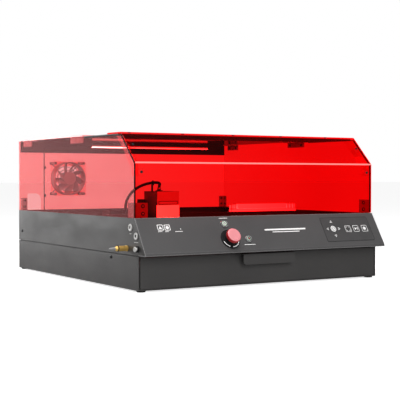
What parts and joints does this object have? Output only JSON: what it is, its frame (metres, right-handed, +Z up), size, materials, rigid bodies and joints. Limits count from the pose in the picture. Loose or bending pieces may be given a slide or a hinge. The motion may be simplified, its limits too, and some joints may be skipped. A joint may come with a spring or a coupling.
{
  "type": "desktop laser cutter",
  "caption": "Desktop laser cutter: steel base with sloped control panel and debris tray, red acrylic hood with a hinged lid, and a belt-driven gantry carrying a laser module over a slotted bed.",
  "frame": {"origin": "centre of the steel base's footprint on the surface that the feet stand on", "axes": "+Z up, -Y towards the user (the control panel and the lid's opening), +X to the user's right"},
  "size_m": [0.6026, 0.6265, 0.2974],
  "materials": {
    "steel_dark": "fine powder coat",
    "steel_panel": "fine powder coat",
    "red_acrylic": "polished",
    "aluminium_black": "black anodised",
    "aluminium": "brushed",
    "bright_steel": "bright",
    "black_rubber": "matte",
    "black_plastic": "moulded",
    "white_plastic": "moulded",
    "red_plastic": "moulded",
    "brass": "turned",
    "keypad": "printed film",
    "board": "soldered board",
    "light_bar": "pale",
    "light_strip": "lit"
  },
  "bodies": {
    "chassis": {"base_tub": "steel_dark", "base_feet": "black_rubber", "foam_seals": "black_rubber", "upper_housing": "steel_dark", "control_panel": "steel_panel", "keypad_overlay": "keypad", "control_board": "board", "button_bezels": "bright_steel", "stop_collar": "black_plastic", "side_sockets": "white_plastic", "air_fitting": "brass", "chassis_screws": "bright_steel", "cutting_bed": "bright_steel", "hood_side_panels": "red_acrylic", "hood_rear_panel": "red_acrylic", "hood_top_panel": "red_acrylic", "corner_brackets": "aluminium", "lid_magnets": "bright_steel", "top_brackets": "aluminium_black", "rear_rail": "aluminium_black", "light_strip": "light_strip", "light_wire": "black_plastic", "hinge_fixed_leaves": "bright_steel", "hinge_pins": "bright_steel", "exhaust_fan_frame": "black_plastic", "y_rails": "aluminium", "y_motor": "black_plastic", "y_belt_supports": "aluminium", "y_belts": "black_rubber"},
    "lid": {"lid_window": "red_acrylic", "lid_top_plate": "steel_dark", "lid_gussets": "red_acrylic", "lid_screws": "bright_steel", "hinge_lid_leaves": "bright_steel"},
    "drawer": {"drawer_front": "steel_dark", "drawer_tray": "steel_dark", "drawer_handle": "steel_dark"},
    "gantry": {"x_beam": "aluminium_black", "gantry_end_plates": "aluminium_black", "x_motor": "black_plastic", "x_belt": "black_rubber", "light_bar": "light_bar"},
    "head_carriage": {"carriage_plate": "aluminium_black", "cable_holders": "black_plastic", "laser_cable": "black_plastic"},
    "laser_module": {"module_heatsink": "aluminium_black", "module_cover": "aluminium_black", "module_shield": "bright_steel", "lens_nozzle": "aluminium"},
    "head_fan": {"head_fan_rotor": "black_plastic"},
    "exhaust_rotor": {"exhaust_fan_rotor": "black_plastic"},
    "x_drive_pulley": {"x_pulley": "aluminium"},
    "x_idler_pulley": {"x_idler": "aluminium"},
    "y_drive": {"y_drive_shaft": "bright_steel"},
    "y_idler_pulleys": {"y_idlers": "aluminium"},
    "stop_stem": {"stop_plunger": "red_plastic"},
    "stop_head": {"stop_cap": "red_plastic"},
    "start_cap": {"start_button": "white_plastic"},
    "reset_cap": {"reset_button": "white_plastic"},
    "power_cap": {"power_button": "white_plastic"}
  },
  "joints": [
    {"name": "lid_hinge", "type": "hinge", "parent": "chassis", "child": "lid", "pos_m": [0, -0.0575, 0.2925], "axis": [-1, 0, 0], "range_deg": [0, 100]},
    {"name": "drawer_slide", "type": "slide", "parent": "chassis", "child": "drawer", "axis": [0, -1, 0], "range_m": [0, 0.42]},
    {"name": "gantry_y", "type": "slide", "parent": "chassis", "child": "gantry", "axis": [0, 1, 0], "range_m": [-0.065, 0.3]},
    {"name": "carriage_x", "type": "slide", "parent": "gantry", "child": "head_carriage", "axis": [1, 0, 0], "range_m": [-0.015, 0.325]},
    {"name": "module_z", "type": "slide", "parent": "head_carriage", "child": "laser_module", "axis": [0, 0, 1], "range_m": [-0.008, 0.012], "deforming": ["laser_cable"]},
    {"name": "head_fan_spin", "type": "hinge", "parent": "laser_module", "child": "head_fan", "pos_m": [-0.163, -0.1675, 0.175], "axis": [0, 0, 1], "continuous": true},
    {"name": "exhaust_fan_spin", "type": "hinge", "parent": "chassis", "child": "exhaust_rotor", "pos_m": [-0.165, 0.2745, 0.208], "axis": [0, 1, 0], "continuous": true},
    {"name": "x_pulley_spin", "type": "hinge", "parent": "gantry", "child": "x_drive_pulley", "pos_m": [-0.226, -0.082, 0.1074], "axis": [0, 0, 1], "continuous": true},
    {"name": "x_idler_spin", "type": "hinge", "parent": "gantry", "child": "x_idler_pulley", "pos_m": [0.226, -0.082, 0.1074], "axis": [0, 0, 1], "continuous": true},
    {"name": "y_drive_spin", "type": "hinge", "parent": "chassis", "child": "y_drive", "pos_m": [0, 0.268, 0.088], "axis": [1, 0, 0], "continuous": true},
    {"name": "y_idler_spin", "type": "hinge", "parent": "chassis", "child": "y_idler_pulleys", "pos_m": [0, -0.254, 0.088], "axis": [1, 0, 0], "continuous": true},
    {"name": "stop_push", "type": "slide", "parent": "chassis", "child": "stop_stem", "axis": [0, 0.8442, -0.536], "range_m": [0, 0.004]},
    {"name": "stop_twist", "type": "hinge", "parent": "stop_stem", "child": "stop_head", "pos_m": [-0.092, -0.30807, 0.09287], "axis": [0, -0.8442, 0.536], "range_deg": [0, 30], "stiffness_Nm_per_rad": 0.05},
    {"name": "start_press", "type": "slide", "parent": "chassis", "child": "start_cap", "axis": [0, 0.8442, -0.536], "range_m": [0, 0.002], "stiffness_N_per_m": 300},
    {"name": "reset_press", "type": "slide", "parent": "chassis", "child": "reset_cap", "axis": [0, 0.8442, -0.536], "range_m": [0, 0.002], "stiffness_N_per_m": 300},
    {"name": "power_press", "type": "slide", "parent": "chassis", "child": "power_cap", "axis": [1, 0, 0], "range_m": [0, 0.002], "stiffness_N_per_m": 300}
  ],
  "couplings": [
    {"joint": "x_pulley_spin", "follows": "carriage_x", "rad_per_m": 156.99},
    {"joint": "x_idler_spin", "follows": "carriage_x", "rad_per_m": 156.99},
    {"joint": "y_drive_spin", "follows": "gantry_y", "rad_per_m": -156.99},
    {"joint": "y_idler_spin", "follows": "gantry_y", "rad_per_m": -156.99}
  ]
}
